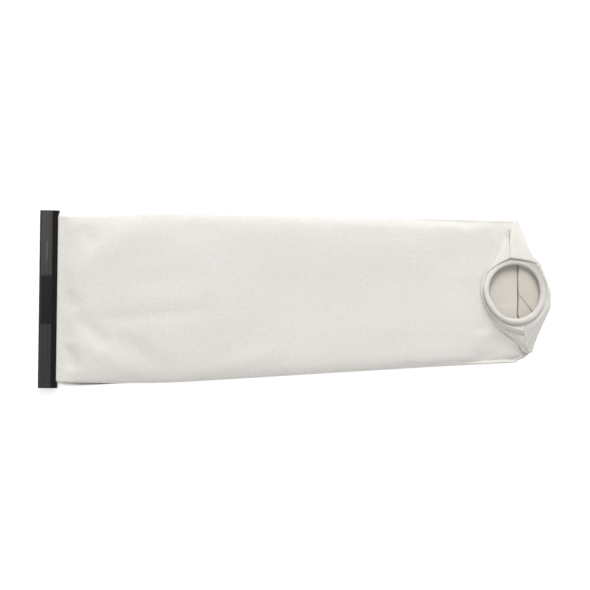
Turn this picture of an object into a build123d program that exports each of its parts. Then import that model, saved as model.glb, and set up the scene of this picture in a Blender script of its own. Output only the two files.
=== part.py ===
"""Reusable cloth dust bag with a slide-on closure rail, lying flat with its inlet end folded up.

X runs along the bag towards the inlet, Y along the rail and Z up. The origin is the middle of
the footprint at the floor. All sizes are in millimetres.
"""

import os
from math import atan2, ceil, degrees

from build123d import *

# Driving dimensions
bag_length = 512
rail_length = 178
rail_width = 18
rail_height = 10
rail_wall = 1.6
cloth = 0.6
bag_height = 12
lap = 0.4
neck_height = 2.6
seam_height = bag_height / 2
slot_height = rail_height / 2
slot_gap = 3.2
inlet_radius = 26
inlet_centre = (217.5, 13.7)
bead_radius = 2.8
top_of_flaps = 15.4
stitch_length = 2.6
thread_width = 0.6
thread_height = 0.25
thread_gap = 0.02

# Places worked out from them
rail_left = -bag_length / 2
rail_right = rail_left + rail_width
mouth_x = rail_left + 13
neck_end_x = rail_right + 5
full_height_x = neck_end_x + 19
crease_x = 220
hem_left_x = rail_left + 3
tuck_z = bag_height + lap
collar_top_z = top_of_flaps + 6.8
bead_z = collar_top_z + 1.8
bead_centre_radius = inlet_radius + bead_radius

# Both long edges of the flattened bag, as (x, lower edge, upper edge)
edge_stations = [
    (mouth_x, -83.0, 84.0),
    (neck_end_x, -83.6, 84.2),
    (full_height_x, -83.7, 84.9),
    (-136, -82.5, 87.2),
    (204, -56.6, 85.5),
    (crease_x, -55.3, 85.3),
]

# The folded end: its outer edge from the upper corner round to the lower one, the fold on its
# left, and the two seams that divide it, one on each side of the inlet
outer_end = [
    (crease_x, 85.3),
    (237.7, 47.5),
    (244, 43.5),
    (250.7, 28.2),
    (256, 14.4),
    (256, -1.7),
    (248.4, -16.7),
    (241.8, -35.2),
    (238, -47.3),
    (227, -54.2),
    (crease_x, -55.3),
]
left_fold = [(214, 76), (196, 38), (188.8, 15), (189, 7.7), (199, -10.6), (210.6, -19.4), (crease_x, -54)]
upper_seam = [(214, 76), (213, 63.6), (214, 47)]
lower_seam = [(231.2, -19), (231.5, -40), (238, -47.3)]


def write(part, name):
    """Label one finished sub-part and write its STEP file."""
    part.label = name
    export_step(part, f"parts/{name}.step")


def height_at(x):
    """Half the bag's height and its middle plane at a station: narrow at the mouth, full beyond."""
    if x <= neck_end_x:
        return neck_height / 2, slot_height
    return bag_height / 2, seam_height


def cloth_section(station, side):
    """One panel's thin C in the plane X = x: a flat run with a quarter-round edge on each side."""
    x, low, high = station
    half, middle = height_at(x)
    inner = half - cloth
    plane = Plane(origin=(x, 0, middle), x_dir=(0, 1, 0), z_dir=(1, 0, 0))
    with BuildSketch(plane) as section:
        with BuildLine():
            CenterArc((low + half, 0), half, 180, -90 * side)
            Line((low + half, half * side), (high - half, half * side))
            CenterArc((high - half, 0), half, 90 * side, -90 * side)
            Line((high, 0), (high - cloth, 0))
            CenterArc((high - half, 0), inner, 0, 90 * side)
            Line((high - half, inner * side), (low + half, inner * side))
            CenterArc((low + half, 0), inner, 90 * side, 90 * side)
            Line((low + cloth, 0), (low, 0))
        make_face()
    return section.sketch


def plate(outline, low_z, high_z):
    """A flat layer of cloth with the outline's shape."""
    with BuildPart() as layer:
        with BuildSketch(Plane.XY.offset(low_z)):
            with BuildLine():
                Polyline(*outline, close=True)
            make_face()
        extrude(amount=high_z - low_z)
    return layer.part


def beside(run, distance):
    """The run moved sideways by a distance, to its left where that is positive, with mitred corners."""
    turns = [Vector(*end) - Vector(*start) for start, end in zip(run, run[1:])]
    normals = [Vector(-turn.Y, turn.X).normalized() for turn in turns]
    moved = []
    for at, before, after in zip(run, normals[:1] + normals, normals + normals[-1:]):
        shift = (before + after) * (distance / (1 + before.dot(after)))
        moved.append((at[0] + shift.X, at[1] + shift.Y))
    return moved


def wall(run, low_z, high_z):
    """A wall of one layer of cloth standing along a run of points, on the run's left."""
    return plate(run + beside(run, cloth)[::-1], low_z, high_z)


def stitch_places(run, pitch, margin):
    """Where the stitches of a row go along straight runs: (x, y, angle in degrees)."""
    places = []
    for start, end in zip(run, run[1:]):
        step = Vector(*end) - Vector(*start)
        count = max(1, ceil((step.length - 2 * margin) / pitch))
        for n in range(count):
            at = Vector(*start) + step * ((margin + (n + 0.5) * pitch) / step.length)
            if (at - Vector(*start)).length < step.length - margin:
                places.append((at.X, at.Y, degrees(atan2(step.Y, step.X))))
    return places


def stitch_row(run, low_z, pitch=4.0, margin=1.0):
    """A row of separate thread stitches lying on a flat face."""
    with BuildPart() as row:
        for x, y, angle in stitch_places(run, pitch, margin):
            with BuildSketch(Plane((x, y, low_z))):
                SlotOverall(stitch_length, thread_width, rotation=angle)
        extrude(amount=thread_height)
    return row.part


os.makedirs("parts", exist_ok=True)

# Closure rail: an extruded channel with lips, a stop wall at one end and grip ribs on both faces
bevel = 2.5
lip_x = rail_right - 3.5
lip_slope_x = rail_right - 4.5
stop_wall = 2.5
rib_pitch = 2.0
rib_count = 24
rib_depth = 0.5
rib_length = 11
rib_centre_x = rail_left + 7.5
lip_nose = 2.6
channel_x = rail_left + 2
channel_bevel = 1
stop_x = rail_left + 1
stop_inset = 1.5
nub = 1.0
nub_root = 0.5
nub_length = 7
nub_height = 1.3
nub_inset = 1.9
low_slot = slot_height - slot_gap / 2
high_slot = slot_height + slot_gap / 2
with BuildPart() as closure_rail:
    with BuildSketch(Plane.XZ.offset(-rail_length / 2)):
        with BuildLine():
            Polyline(
                (rail_left, bevel),
                (rail_left + bevel, 0),
                (lip_slope_x, 0),
                (rail_right, lip_nose),
                (rail_right, low_slot),
                (lip_x, low_slot),
                (lip_x, rail_wall),
                (channel_x + channel_bevel, rail_wall),
                (channel_x, rail_wall + channel_bevel),
                (channel_x, rail_height - rail_wall - channel_bevel),
                (channel_x + channel_bevel, rail_height - rail_wall),
                (lip_x, rail_height - rail_wall),
                (lip_x, high_slot),
                (rail_right, high_slot),
                (rail_right, rail_height - lip_nose),
                (lip_slope_x, rail_height),
                (rail_left + bevel, rail_height),
                (rail_left, rail_height - bevel),
                close=True,
            )
        make_face()
    extrude(amount=rail_length)
    # stop wall across the channel at its +Y end, with a nub on the cloth side
    with BuildSketch(Plane.XZ.offset(-rail_length / 2)):
        with BuildLine():
            Polyline(
                (stop_x, stop_inset),
                (rail_right + nub, stop_inset),
                (rail_right + nub, rail_height - stop_inset),
                (stop_x, rail_height - stop_inset),
                close=True,
            )
        make_face()
    extrude(amount=stop_wall)
    # small nubs on both lips at the open end
    nub_centre = (rail_right + (nub - 2 * nub_root) / 2, (nub_length - rail_length) / 2)
    for low_z in (nub_inset, rail_height - nub_inset - nub_height):
        with BuildSketch(Plane((*nub_centre, low_z))):
            Rectangle(nub + 2 * nub_root, nub_length)
        extrude(amount=nub_height)
    # fine cross grooves that leave the grip ribs standing
    for face_z in (rib_depth, rail_height):
        with BuildSketch(Plane((rib_centre_x, -rib_pitch / 2, face_z))):
            with GridLocations(1, rib_pitch, 1, rib_count):
                Rectangle(rib_length, rib_pitch / 2)
        extrude(amount=-rib_depth, mode=Mode.SUBTRACT)
write(closure_rail.part, "closure_rail")

# Front and back panels: lofted shells that are low in the rail's slot and full beyond it
with BuildPart() as front_panel:
    loft([cloth_section(station, 1) for station in edge_stations], ruled=True)
write(front_panel.part, "front_panel")

with BuildPart() as back_panel:
    loft([cloth_section(station, -1) for station in edge_stations], ruled=True)
    add(plate(outer_end, 0, cloth))
write(back_panel.part, "back_panel")

# Mouth hems: each panel's end is folded into a flat loop round a plastic strip
hem_margin = 1.5
hem_low = edge_stations[0][1] + hem_margin
hem_high = edge_stations[0][2] - hem_margin
hem_middle = (hem_low + hem_high) / 2
hem_run = hem_high - hem_low
hem_fold = 2.8
loop_low = 0.05
tail_x = neck_end_x + 2
loop_centre_x = (hem_left_x + mouth_x) / 2
loop_inside = mouth_x - hem_left_x - 2 * cloth
strip_thickness = 1.5
strip_play = 0.2
strip_end_gap = 2
strip_corner = 2
row_end_gap = 3
for name, side in (("front", 1), ("back", -1)):
    with BuildPart() as mouth_hem:
        with BuildSketch(Plane(origin=(0, hem_low, slot_height), x_dir=(1, 0, 0), z_dir=(0, 1, 0))):
            with BuildLine():
                Polyline(
                    (hem_left_x, -side * loop_low),
                    (tail_x, -side * loop_low),
                    (tail_x, -side * (loop_low + cloth)),
                    (mouth_x, -side * (loop_low + cloth)),
                    (mouth_x, -side * (loop_low + hem_fold)),
                    (hem_left_x, -side * (loop_low + hem_fold)),
                    close=True,
                )
            make_face()
            with Locations((loop_centre_x, -side * (loop_low + hem_fold / 2))):
                Rectangle(loop_inside, hem_fold - 2 * cloth, mode=Mode.SUBTRACT)
        extrude(amount=hem_run)
    write(mouth_hem.part, f"{name}_mouth_hem")

    strip_z = slot_height + side * (loop_low + hem_fold / 2)
    with BuildPart() as hem_strip:
        with BuildSketch(Plane((loop_centre_x, hem_middle, strip_z - strip_thickness / 2))):
            RectangleRounded(loop_inside - strip_play, hem_run - 2 * strip_end_gap, strip_corner)
        extrude(amount=strip_thickness)
    write(hem_strip.part, f"{name}_hem_strip")

    thread_z = slot_height + neck_height / 2 + thread_gap
    stitch_z = thread_z if side > 0 else 2 * slot_height - thread_z - thread_height
    stitch_x = rail_right + row_end_gap
    row = stitch_row([(stitch_x, hem_low + row_end_gap), (stitch_x, hem_high - row_end_gap)], stitch_z)
    write(row, f"mouth_hem_stitches_{name}")

# Side seams: the panels' edges turned inside the bag and sewn together
allowance = 8
inset = cloth + 0.1
seam_pitch = 5.0
long_edge = [station for station in edge_stations if station[0] >= full_height_x]
for name, edge, inward in (("upper", 2, -1), ("lower", 1, 1)):
    outside = [(station[0], station[edge] + inward * inset) for station in long_edge]
    inside = [(x, y + inward * allowance) for x, y in reversed(outside)]
    seam = plate(outside + inside, seam_height - cloth, seam_height + cloth)
    write(seam, f"{name}_side_seam")
    sewn = [(x, y + inward * allowance / 2) for x, y in outside]
    row = stitch_row(sewn, seam_height + cloth + thread_gap, pitch=seam_pitch)
    write(row, f"side_seam_stitches_{name}")

# Folded end, left half: from the crease the front panel returns left as the tuck, turns up at
# the fold and comes back over it to the two end seams
hole_play = 0.2
hole_radius = inlet_radius + cloth + hole_play
hole_depth = 1.5 * cloth
tuck_top_y = left_fold[0][1]
tuck_low_y = -50
seam_foot = (227, tuck_low_y)
fold = left_fold[:-1] + [(crease_x - 1, tuck_low_y)]
tuck = [(crease_x, tuck_top_y)] + fold + [(crease_x, tuck_low_y)]
left_half = fold + [seam_foot] + lower_seam[1::-1] + [inlet_centre] + upper_seam[:0:-1]
crease_low = (crease_x, tuck_low_y + 2)
crease_top = (crease_x, tuck_top_y - 1)
with BuildPart() as front_end_flap:
    add(plate(tuck, tuck_z, tuck_z + cloth))
    add(wall([crease_low, crease_top], bag_height, tuck_z))
    add(wall(fold, tuck_z, top_of_flaps - cloth))
    add(plate(left_half, top_of_flaps - cloth, top_of_flaps))
    with BuildSketch(Plane((*inlet_centre, top_of_flaps))):
        Circle(hole_radius)
    extrude(amount=-hole_depth, mode=Mode.SUBTRACT)
write(front_end_flap.part, "front_end_flap")

# Folded end, right half: the back panel rises along the outer edge and comes over to the seams
right_half = outer_end[:-2] + lower_seam[1::-1] + [inlet_centre] + upper_seam[::-1]
rising_edge = [(crease_x + 0.7, -55.2)] + outer_end[-2:0:-1] + [(crease_x + 1, 83.1)]
with BuildPart() as back_end_flap:
    add(plate(right_half, top_of_flaps - cloth, top_of_flaps))
    add(wall(rising_edge, cloth, top_of_flaps))
    with BuildSketch(Plane((*inlet_centre, top_of_flaps))):
        Circle(hole_radius)
    extrude(amount=-hole_depth, mode=Mode.SUBTRACT)
write(back_end_flap.part, "back_end_flap")

# End seams: turned-in allowances under the upper seam, and the layered ridge of the lower one
allowance_centre = (213.5, 56)
allowance_width = 6
allowance_run = 17
allowance_depth = 1
with BuildPart() as upper_end_seam:
    with BuildSketch(Plane((*allowance_centre, top_of_flaps - cloth))):
        Rectangle(allowance_width, allowance_run)
    extrude(amount=-allowance_depth)
write(upper_end_seam.part, "upper_end_seam")

ridge = 2
ridge_run = beside(lower_seam, ridge / 2)
lower_end_seam = plate(ridge_run + beside(lower_seam, -ridge / 2)[::-1], top_of_flaps, top_of_flaps + ridge)
write(lower_end_seam, "lower_end_seam")

# Inlet collar: a short sleeve with a foot sewn to the flaps round the hole
foot_radius = inlet_radius + 6
sleeve_tuck = 1.2
with BuildPart() as inlet_collar:
    with BuildSketch(Plane((*inlet_centre, top_of_flaps - sleeve_tuck))):
        Circle(inlet_radius + cloth)
        Circle(inlet_radius, mode=Mode.SUBTRACT)
    extrude(amount=collar_top_z - top_of_flaps + sleeve_tuck)
    with BuildSketch(Plane((*inlet_centre, top_of_flaps))):
        Circle(foot_radius)
        Circle(inlet_radius, mode=Mode.SUBTRACT)
    extrude(amount=cloth)
write(inlet_collar.part, "inlet_collar")

# Collar binding: the sleeve's end rolled outwards into a hollow bead, open along its seam
elastic_radius = 1.3
elastic_play = 0.2
roll_gap = 0.4
roll_gap_run = 3.2
bead_plane = Plane(origin=(*inlet_centre, bead_z), x_dir=(1, 0, 0), z_dir=(0, -1, 0))
bead_axis = Axis((*inlet_centre, 0), (0, 0, 1))
with BuildPart() as collar_binding:
    with BuildSketch(bead_plane):
        with Locations((bead_centre_radius, 0)):
            Circle(bead_radius)
            Circle(elastic_radius + elastic_play, mode=Mode.SUBTRACT)
        with Locations((bead_centre_radius + bead_radius / 2, -bead_radius / 2)):
            Rectangle(roll_gap_run, roll_gap, rotation=-45, mode=Mode.SUBTRACT)
    revolve(axis=bead_axis)
write(collar_binding.part, "collar_binding")

with BuildPart() as elastic_ring:
    with BuildSketch(bead_plane):
        with Locations((bead_centre_radius, 0)):
            Circle(elastic_radius)
    revolve(axis=bead_axis)
write(elastic_ring.part, "elastic_ring")

# Thread: the collar's stitches go round its foot, and each end seam has a row beside it
collar_stitch_count = 48
collar_stitch_radius = foot_radius - 2
upper_row_gap = 2
lower_row_gap = 2.4
with BuildPart() as collar_stitches:
    with BuildSketch(Plane((*inlet_centre, top_of_flaps + cloth + thread_gap))):
        with PolarLocations(collar_stitch_radius, collar_stitch_count):
            Rectangle(thread_width, stitch_length)
    extrude(amount=thread_height)
write(collar_stitches.part, "collar_stitches")

upper_row = beside(upper_seam[:2], upper_row_gap)
lower_row = beside(lower_seam, lower_row_gap)
with BuildPart() as end_seam_stitches:
    add(stitch_row(upper_row, top_of_flaps + thread_gap))
    add(stitch_row(lower_row, top_of_flaps + thread_gap))
write(end_seam_stitches.part, "end_seam_stitches")
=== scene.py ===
"""The looks of a reusable cloth dust bag that lies flat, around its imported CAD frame.

Shapes are worked out in millimetres in the frame's own axes and written to the meshes in metres.
"""

import math
import random

import bpy
import numpy as np
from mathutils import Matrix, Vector
from mathutils.bvhtree import BVHTree


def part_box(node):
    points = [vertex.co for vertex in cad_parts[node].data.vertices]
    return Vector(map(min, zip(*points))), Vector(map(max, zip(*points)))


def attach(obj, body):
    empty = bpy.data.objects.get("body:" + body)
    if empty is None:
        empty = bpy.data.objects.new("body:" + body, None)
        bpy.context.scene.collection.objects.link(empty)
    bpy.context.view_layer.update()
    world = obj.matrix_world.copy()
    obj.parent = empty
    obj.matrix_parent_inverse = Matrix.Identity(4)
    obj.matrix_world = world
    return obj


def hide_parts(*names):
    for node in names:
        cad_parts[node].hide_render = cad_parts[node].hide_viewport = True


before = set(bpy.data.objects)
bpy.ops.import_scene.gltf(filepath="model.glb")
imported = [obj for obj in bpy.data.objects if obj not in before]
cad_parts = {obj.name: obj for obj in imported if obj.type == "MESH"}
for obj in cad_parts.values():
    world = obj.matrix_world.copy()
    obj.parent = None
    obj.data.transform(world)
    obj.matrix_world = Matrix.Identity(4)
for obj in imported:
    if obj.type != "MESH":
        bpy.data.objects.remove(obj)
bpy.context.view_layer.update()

MM = 0.001
CLOTH = 0.6


def box_mm(node):
    """A CAD node's lowest and highest corners in millimetres."""
    low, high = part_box(node)
    return [v / MM for v in low], [v / MM for v in high]


# ---------------------------------------------------------------- places, from the frame

rail_low, rail_high = box_mm("closure_rail")
front_low, front_high = box_mm("front_panel")
bead_low, bead_high = box_mm("collar_binding")
flap_high = box_mm("back_end_flap")[1]
MOUTH_X = front_low[0]
CREASE_X = front_high[0]
BODY_TOP = front_high[2]
RAIL_X = rail_high[0] - 1.0
RING = np.array([(bead_low[0] + bead_high[0]) / 2, (bead_low[1] + bead_high[1]) / 2])
BEAD_OUTER = (bead_high[0] - bead_low[0]) / 2
BEAD_SECTION = (bead_high[2] - bead_low[2]) / 2
BEAD_Z = (bead_high[2] + bead_low[2]) / 2 - 4.4
# the soft ring leans: its far side sits lower than its near side by twice this
BEAD_LEAN = 2.0
BEAD_R = BEAD_OUTER - BEAD_SECTION
SEAM_Z = 3.4
EDGE_TOP = 6.4
MIDDLE_TOP = BODY_TOP - 0.8
CREASE_EDGE_X = CREASE_X + 2.2
SLOT_Z = (rail_low[2] + rail_high[2]) / 2
NECK_HALF = 1.3
# where the turned-in side seams end, before the folded end
ALLOWANCE_END_X = 196.0
# the most that the simulated swelling may move the body's cloth
SIM_CAP = 1.6

# ---------------------------------------------------------------- mesh helpers


def new_mesh(name, points, faces):
    """A mesh object from points in millimetres, riding on the bag."""
    mesh = bpy.data.meshes.new(name)
    mesh.from_pydata([tuple(p * MM) for p in np.asarray(points, float)], [], faces)
    mesh.validate()
    mesh.polygons.foreach_set("use_smooth", [True] * len(mesh.polygons))
    piece = bpy.data.objects.new(name, mesh)
    bpy.context.scene.collection.objects.link(piece)
    return piece


def grid_faces(rows, columns, start=0, wrap=False, flip=False):
    """Quads over rows x columns of points, joined round the rows' ends where wrap is true."""
    faces = []
    for i in range(rows - 1):
        for j in range(columns if wrap else columns - 1):
            k = (j + 1) % columns
            quad = (i * columns + j, i * columns + k, (i + 1) * columns + k, (i + 1) * columns + j)
            faces.append(tuple(start + q for q in (quad[::-1] if flip else quad)))
    return faces


def grid_mesh(name, grid, wrap=False, flip=False):
    """A mesh object from a grid of points, rows x columns."""
    faces = grid_faces(*grid.shape[:2], wrap=wrap, flip=flip)
    return new_mesh(name, grid.reshape(-1, 3), faces)


def mesh_points(piece):
    """A mesh's points in millimetres, as an array."""
    flat = np.empty(len(piece.data.vertices) * 3)
    piece.data.vertices.foreach_get("co", flat)
    return flat.reshape(-1, 3) / MM


def set_points(piece, points):
    piece.data.vertices.foreach_set("co", (points * MM).ravel())
    piece.data.update()


def apply_modifiers(piece):
    """Turn a piece's modifiers into its mesh."""
    evaluated = piece.evaluated_get(bpy.context.evaluated_depsgraph_get())
    mesh = bpy.data.meshes.new_from_object(evaluated)
    old = piece.data
    piece.modifiers.clear()
    piece.data = mesh
    bpy.data.meshes.remove(old)
    mesh.name = piece.name


def refine(piece):
    """One level of subdivision, applied."""
    finer = piece.modifiers.new("finer", "SUBSURF")
    finer.levels = finer.render_levels = 1
    apply_modifiers(piece)


def thicken(piece, offset, thickness=CLOTH, levels=0):
    """Give a sheet its real thickness, then smooth it."""
    solid = piece.modifiers.new("thickness", "SOLIDIFY")
    solid.thickness = thickness * MM
    solid.offset = offset
    solid.use_even_offset = False
    if levels:
        smooth = piece.modifiers.new("smooth", "SUBSURF")
        smooth.levels = smooth.render_levels = levels
    apply_modifiers(piece)
    piece.data.polygons.foreach_set("use_smooth", [True] * len(piece.data.polygons))


def along(points, count, soften=0):
    """count points at even spacing along a run, with its corners softened, ends kept."""
    run = np.asarray(points, float)
    steps = np.linalg.norm(np.diff(run, axis=0), axis=1)
    at = np.concatenate([[0], np.cumsum(steps)])
    even = np.linspace(0, at[-1], count)
    placed = np.stack([np.interp(even, at, run[:, k]) for k in range(run.shape[1])], axis=1)
    for _ in range(soften):
        placed[1:-1] = (placed[:-2] + 2 * placed[1:-1] + placed[2:]) / 4
    return placed


def ripple(x, y, scale, seed):
    """A smooth irregular field from -1 to 1 over the plane."""
    turns = random.Random(seed)
    total = np.zeros(np.broadcast(x, y).shape)
    for _ in range(6):
        angle = turns.uniform(0, math.tau)
        wave = scale * turns.uniform(0.7, 1.6)
        phase = turns.uniform(0, math.tau)
        total = total + np.sin((x * math.cos(angle) + y * math.sin(angle)) * math.tau / wave + phase)
    return total / 6


def ruffle(piece, amount, scale, seed, above=-1.0):
    """Raise and lower a sheet's points a little, where they lie above a height."""
    p = mesh_points(piece)
    p[:, 2] += amount * ripple(p[:, 0], p[:, 1], scale, seed) * (p[:, 2] > above)
    set_points(piece, p)


def smoothstep(a, b, x):
    t = np.clip((x - a) / (b - a), 0, 1)
    return t * t * (3 - 2 * t)


# ---------------------------------------------------------------- the body's outline and creases


def high_edge(x):
    """The upper long edge: it swells beyond the rail, then draws in a little towards the inlet."""
    run = np.asarray(x, float) - RAIL_X
    return 84.0 + 5.2 * smoothstep(16, 116, run) - 0.0052 * np.maximum(run, 0)


def low_edge(x):
    """The lower long edge: straight near the rail, then tapering towards the inlet."""
    knee, spread, slope = -134.0, 14.0, 0.0745
    return -83.4 + slope * spread * np.log1p(np.exp((np.asarray(x, float) - knee) / spread))


FOLD_GAIN = 1.25
# Folds pressed into the front cloth: (points, height, width). A negative height is a
# hollow. Each fades out towards both of its ends.
FOLDS = [
    ([(-230, 12), (-206, 35), (-186, 50), (-168, 66), (-150, 80)], 1.7, 13.0),
    ([(-214, 24), (-196, 38), (-180, 51)], -0.5, 9.0),
    ([(-214, 74), (-207.6, 62), (-201, 52)], -1.1, 9.5),
    ([(-229, 8), (-224, -2), (-216, -10)], -0.9, 8.0),
    ([(-226, -46), (-222.5, -58), (-221, -72)], -2.0, 8.0),
    ([(-219, -14), (-206, -27), (-197, -36), (-186, -46)], -1.5, 8.0),
    ([(-209, -20), (-190, -19), (-156, -17), (-120, -12), (-75, -8)], -0.9, 8.0),
    ([(-190, -32), (-165, -44), (-139, -59), (-116, -72)], -0.9, 9.5),
    ([(-226, -36), (-205, -48), (-178, -62), (-150, -74)], 0.9, 10.0),
    ([(-172, 16), (-130, 20), (-80, 26.5)], -0.6, 12.0),
    ([(-100, -73), (-60, -62), (-9, -45)], 0.7, 8.0),
    ([(-45, 12), (8, 20.8), (52, 24)], -0.45, 14.0),
    ([(30, 62), (61, 69), (96, 71), (150, 68)], -0.5, 10.0),
    ([(140, 36), (167, 50), (190, 62)], -0.6, 14.0),
    ([(-120, 66), (-95, 71), (-70, 69)], -0.5, 9.0),
    ([(-60, -18), (20, -26), (110, -22)], 0.5, 14.0),
    ([(60, -44), (110, -40), (160, -34)], -0.4, 10.0),
    ([(172, 28), (180, -2), (198, -30), (214, -46)], -1.2, 13.0),
    ([(120, -10), (160, -8), (186, 6)], 0.7, 16.0),
]


def fold_field(x, y):
    """The height that the folds add at each point."""
    total = np.zeros_like(x)
    for points, height, width in FOLDS:
        run = along(points, 40, soften=12)
        near = np.full(x.shape, 1e9)
        share = np.zeros(x.shape)
        for n, (px, py) in enumerate(run):
            d = np.hypot(x - px, y - py)
            closer = d < near
            near = np.where(closer, d, near)
            share = np.where(closer, n / (len(run) - 1), share)
        fade = np.sin(np.pi * np.clip(share, 0, 1)) ** 0.6
        total += FOLD_GAIN * height * fade * np.exp(-((near / width) ** 2))
    return total


# ---------------------------------------------------------------- front and back panels


def edge_round(inwards, reach):
    """0 at an edge, rising as a quarter round to 1 at reach inwards from it."""
    t = np.clip(inwards / reach, 0, 1)
    return np.sqrt(np.clip(1 - (1 - t) ** 2, 0, 1))


# Distances from each long edge to the rows of points beside it
EDGE_STEPS = np.array([0, 0.3, 0.8, 1.5, 2.3, 3.0, 3.6, 4.2, 5.6, 8.5, 12.0])


def rows_across(low, high, middle_rows):
    """Y places across the body: close beside both edges, then even over the middle."""
    inner_low, inner_high = low + EDGE_STEPS[-1], high - EDGE_STEPS[-1]
    share = np.linspace(0, 1, middle_rows + 2)[1:-1]
    middle = inner_low[:, None] + (inner_high - inner_low)[:, None] * share
    return np.concatenate([low[:, None] + EDGE_STEPS, middle, high[:, None] - EDGE_STEPS[::-1]], axis=1)


def body_grid(columns, middle_rows):
    """Points of the pillow's front and back: two grids over the outline that share their sides."""
    x = np.linspace(MOUTH_X, CREASE_X, columns)
    low, high = low_edge(x), high_edge(x)
    gy = rows_across(low, high, middle_rows)
    gx = np.repeat(x[:, None], gy.shape[1], axis=1)
    low, high = low[:, None], high[:, None]
    nose = 13.0 * np.exp(-(((gy + 49.0) / np.where(gy > -49, 6.8, 4.2)) ** 2))
    reach = np.clip((gx - 176) / (CREASE_X - 176), 0, 1) ** 2
    gx = gx + (CREASE_EDGE_X - CREASE_X + nose) * reach
    opened = smoothstep(RAIL_X + 2, RAIL_X + 30, gx) ** 0.8
    inwards = np.minimum(gy - low, high - gy)
    across = 1 - np.abs(2 * (gy - low) / (high - low) - 1) ** 9
    seam = SLOT_Z + (SEAM_Z - SLOT_Z) * opened
    edge_top = NECK_HALF + (EDGE_TOP - SEAM_Z - NECK_HALF) * opened
    rise = (MIDDLE_TOP - EDGE_TOP) * opened
    crisp = np.where(gy - low < high - gy, 2.4, 1.3)
    front = seam + edge_top * edge_round(inwards, crisp) + rise * across
    under = NECK_HALF + (SEAM_Z - 0.6 - NECK_HALF) * opened
    back = seam - under * edge_round(inwards, 3.5)
    slope = np.maximum(smoothstep(1.0, 12.0, nose), 1 - smoothstep(-51, -46, gy))
    slope = slope * smoothstep(0.45, 1.0, reach)
    front = front + (2.6 - front) * slope ** 1.5
    back = np.minimum(back, front - 0.8 * (inwards > 0))
    return gx, gy, front, back


def simulate(piece, pinned, pressure, frames=22):
    """Let the sewn cloth swell and pucker a little, then keep the result in the mesh."""
    group = piece.vertex_groups.new(name="pinned")
    for n, weight in enumerate(pinned):
        if weight > 0:
            group.add([n], float(weight), "REPLACE")
    cloth = piece.modifiers.new("cloth", "CLOTH")
    settings = cloth.settings
    settings.quality = 6
    settings.mass = 0.25
    settings.tension_stiffness = 25
    settings.compression_stiffness = 25
    settings.shear_stiffness = 8
    settings.bending_stiffness = 0.9
    settings.air_damping = 2
    settings.use_pressure = True
    settings.uniform_pressure_force = pressure
    settings.shrink_min = -0.012
    settings.vertex_group_mass = "pinned"
    settings.effector_weights.gravity = 0
    cloth.collision_settings.use_collision = False
    scene = bpy.context.scene
    scene.frame_start = 1
    scene.frame_end = frames
    cloth.point_cache.frame_end = frames
    for n in range(1, frames + 1):
        scene.frame_set(n)
    apply_modifiers(piece)
    piece.vertex_groups.clear()


def make_body():
    """The front and back panels, simulated as one sewn pillow and then parted at the seams."""
    columns = 108
    gx, gy, front, back = body_grid(columns, 24)
    rows = gy.shape[1]
    top = np.stack([gx, gy, front], axis=-1)
    bottom = np.stack([gx, gy, back], axis=-1)
    # the pillow keeps every row but the crowded ones beside the edges
    kept = [0, 3] + list(range(7, rows - 7)) + [rows - 4, rows - 1]
    count = len(kept)
    sewn_top, sewn_bottom = top[:, kept], bottom[:, kept]
    points = np.concatenate([sewn_top.reshape(-1, 3), sewn_bottom[:, 1:-1].reshape(-1, 3)])
    f = np.arange(columns * count).reshape(columns, count)
    b = f.copy()
    b[:, 1:-1] = columns * count + np.arange(columns * (count - 2)).reshape(columns, count - 2)
    faces = []
    for i in range(columns - 1):
        for j in range(count - 1):
            faces.append((f[i, j], f[i + 1, j], f[i + 1, j + 1], f[i, j + 1]))
            faces.append((b[i, j], b[i, j + 1], b[i + 1, j + 1], b[i + 1, j]))
    for k in (0, columns - 1):
        for j in range(count - 1):
            ring = tuple(dict.fromkeys((f[k, j], f[k, j + 1], b[k, j + 1], b[k, j])))
            faces.append(ring if k == 0 else ring[::-1])
    faces = [tuple(int(v) for v in face) for face in faces]
    pillow = new_mesh("pillow", points, faces)
    px = points[:, 0]
    pinned = 1 - smoothstep(RAIL_X + 4, RAIL_X + 20, px) + smoothstep(CREASE_X - 26, CREASE_X - 8, px)
    simulate(pillow, np.clip(pinned, 0, 1), pressure=1.2)
    change = mesh_points(pillow) - points
    length = np.linalg.norm(change, axis=1, keepdims=True)
    print("body simulation moved up to", round(float(length.max()), 2), "mm")
    change *= np.minimum(1, SIM_CAP / np.maximum(length, 1e-9))
    change[:, :2] *= 0.25
    # the part beside the rail keeps its pressed shape
    change *= smoothstep(RAIL_X + 10, RAIL_X + 110, px)[:, None]
    bpy.data.objects.remove(pillow)
    for grid, index in ((top, f), (bottom, b)):
        moved = change[index]
        for i in range(columns):
            for axis in range(3):
                grid[i, :, axis] += np.interp(gy[i], gy[i, kept], moved[i, :, axis])
    return top, bottom


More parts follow.
